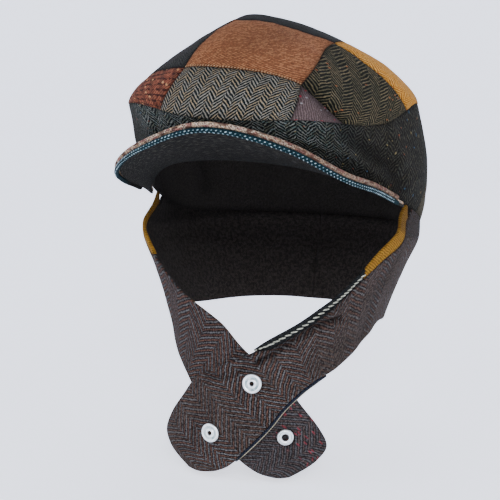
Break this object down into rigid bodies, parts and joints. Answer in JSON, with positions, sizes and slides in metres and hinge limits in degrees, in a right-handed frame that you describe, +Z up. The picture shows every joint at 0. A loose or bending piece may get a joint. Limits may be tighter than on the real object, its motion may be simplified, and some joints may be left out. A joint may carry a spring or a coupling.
{
  "type": "peaked tweed cap with neck cape",
  "caption": "Patchwork tweed cap with a soft front peak and an attached neck and ear cape whose two long flaps cross and snap under the chin.",
  "frame": {"origin": "middle of the head opening, at the height of the ends of the peak, where the head seats", "axes": "+Z up, -Y the way the wearer faces, +X the wearer's left"},
  "size_m": [0.2242, 0.2802, 0.3335],
  "materials": {
    "plaid_rust": "woven plaid tweed, matte",
    "herringbone_cream": "bold herringbone tweed, matte",
    "twill_plum": "twill tweed, matte",
    "tweed_black": "dark tweed, matte",
    "twill_brown": "brown twill tweed, matte",
    "herringbone_green": "dark herringbone tweed, matte",
    "twill_mustard": "mustard herringbone tweed, matte",
    "tweed_grey": "grey tweed, matte",
    "herringbone_blue": "dark herringbone tweed with flecks, matte",
    "tweed_olive": "olive brown tweed, matte",
    "wool_charcoal": "felted wool, matte",
    "tweed_cream": "cream and pink tweed, matte",
    "binding_teal": "coarse woven binding, matte",
    "herringbone_brown": "brown and blue grey herringbone tweed, matte",
    "facing_mustard": "mustard twill facing, matte",
    "facing_twist": "black and white twisted facing, matte",
    "piping_navy": "navy and cream piping, matte",
    "nickel": "bright nickel plate"
  },
  "bodies": {
    "root": {"patch_front_right": "plaid_rust", "patch_front_centre": "herringbone_cream", "patch_front_left": "twill_plum", "patch_top_right": "tweed_black", "patch_top_centre": "twill_brown", "patch_top_left": "herringbone_green", "patch_ridge_right": "tweed_grey", "patch_ridge_centre": "tweed_black", "patch_ridge_left": "twill_mustard", "patch_back_right": "twill_brown", "patch_back_centre": "herringbone_green", "patch_back_left": "plaid_rust", "band_front": "herringbone_blue", "band_back": "tweed_olive", "peak_cover": "tweed_cream", "peak_underside": "wool_charcoal", "peak_piping": "tweed_cream", "peak_binding": "binding_teal", "cape_left": "herringbone_brown", "cape_right": "herringbone_brown", "facing_mustard_left": "facing_mustard", "facing_mustard_right": "facing_mustard", "facing_twist_left": "facing_twist", "hem_piping_left": "piping_navy", "snap_cap_inner": "nickel", "snap_cap_end": "nickel", "snap_stud": "nickel", "snap_mated": "nickel", "snap_socket_end": "nickel", "snap_back_inner": "nickel", "snap_back_stud": "nickel"}
  },
  "joints": []
}
